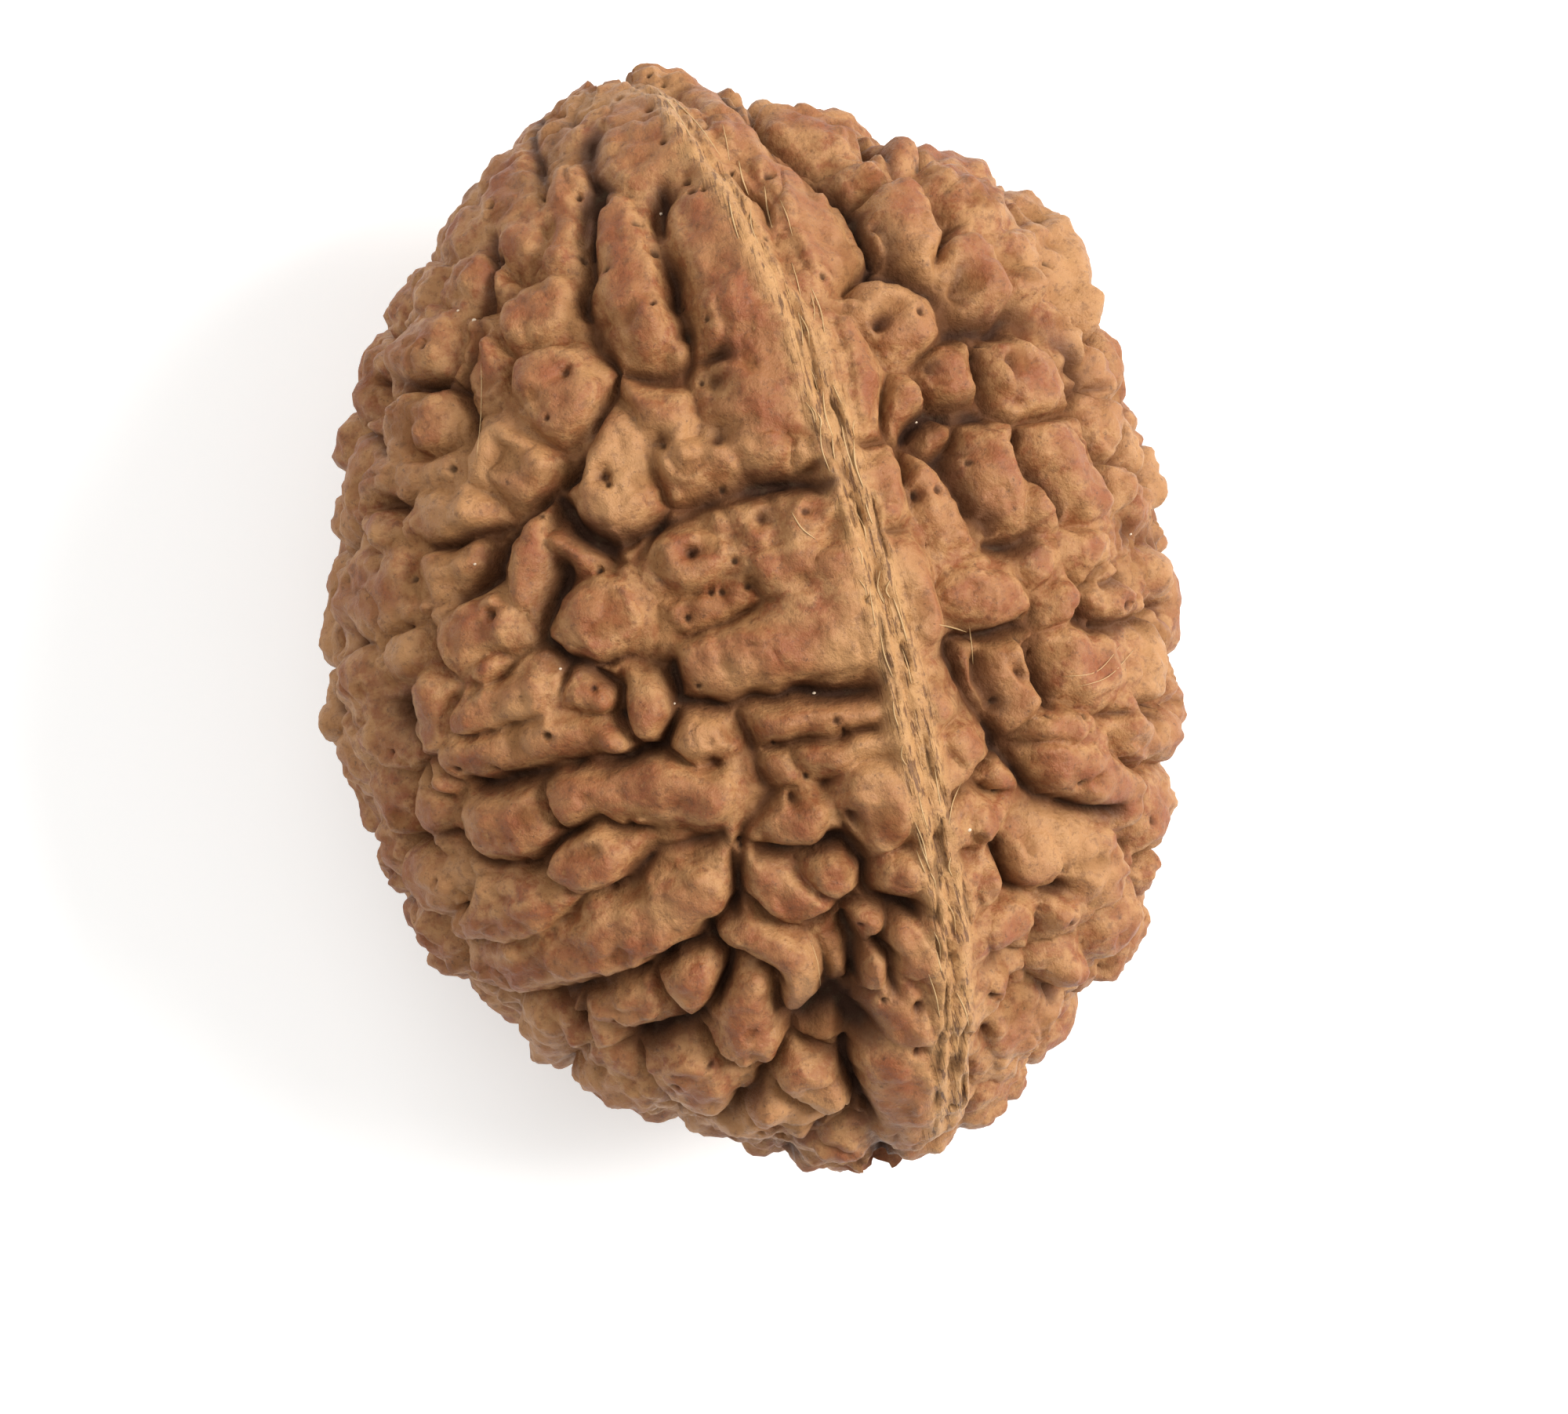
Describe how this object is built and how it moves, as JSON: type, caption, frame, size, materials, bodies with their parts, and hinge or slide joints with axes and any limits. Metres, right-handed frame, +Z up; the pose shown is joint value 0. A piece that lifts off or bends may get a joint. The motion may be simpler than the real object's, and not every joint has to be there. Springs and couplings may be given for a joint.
{
  "type": "rudraksha bead",
  "caption": "Whole rudraksha bead: a brown woody fruit stone with packed rounded lobes, a raised meeting line down its face and a stringing channel along its axis, lying on its back.",
  "frame": {"origin": "middle of the bead's box on the surface it lies on, under the middle of its length and width", "axes": "+Y along the stringing channel to the stalk end, +Z up out of the face with the keel, +X to the right as seen from above with the stalk end at the top"},
  "size_m": [0.0262, 0.0338, 0.0199],
  "materials": {
    "bead": "matte"
  },
  "bodies": {
    "root": {"bead": "bead"}
  },
  "joints": []
}
